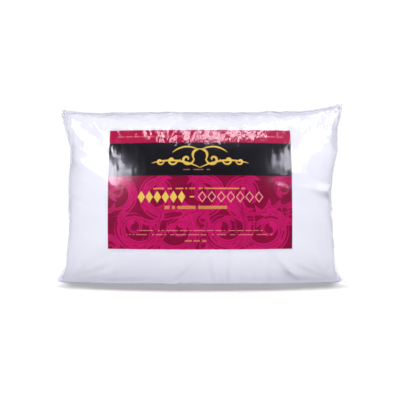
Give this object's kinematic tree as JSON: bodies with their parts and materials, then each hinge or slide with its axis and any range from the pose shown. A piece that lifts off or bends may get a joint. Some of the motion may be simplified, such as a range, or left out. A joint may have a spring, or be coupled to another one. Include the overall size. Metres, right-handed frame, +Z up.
{
  "type": "bed pillow pack",
  "caption": "Pair of plump white bed pillows, face to face in a clear welded film bag with a printed card in front, standing on a long edge.",
  "frame": {"origin": "middle of the flat underside that the pack stands on", "axes": "+X to the right seen from the front, along the pillows; -Y is the front, which the card faces; +Z up"},
  "size_m": [0.736, 0.2098, 0.449],
  "materials": {
    "film": "clear, glossy",
    "printed_card": "smooth coated print",
    "ticking": "fine plain weave",
    "fibre": "soft loose fibre",
    "label_tape": "woven tape",
    "thread": "twisted thread"
  },
  "bodies": {
    "root": {"bag_film": "film", "insert_card": "printed_card", "front_pillow_front_panel": "ticking", "front_pillow_back_panel": "ticking", "front_pillow_fibre_fill": "fibre", "front_pillow_care_label": "label_tape", "front_pillow_closing_stitches": "thread", "rear_pillow_front_panel": "ticking", "rear_pillow_back_panel": "ticking", "rear_pillow_fibre_fill": "fibre", "rear_pillow_care_label": "label_tape", "rear_pillow_closing_stitches": "thread"}
  },
  "joints": []
}
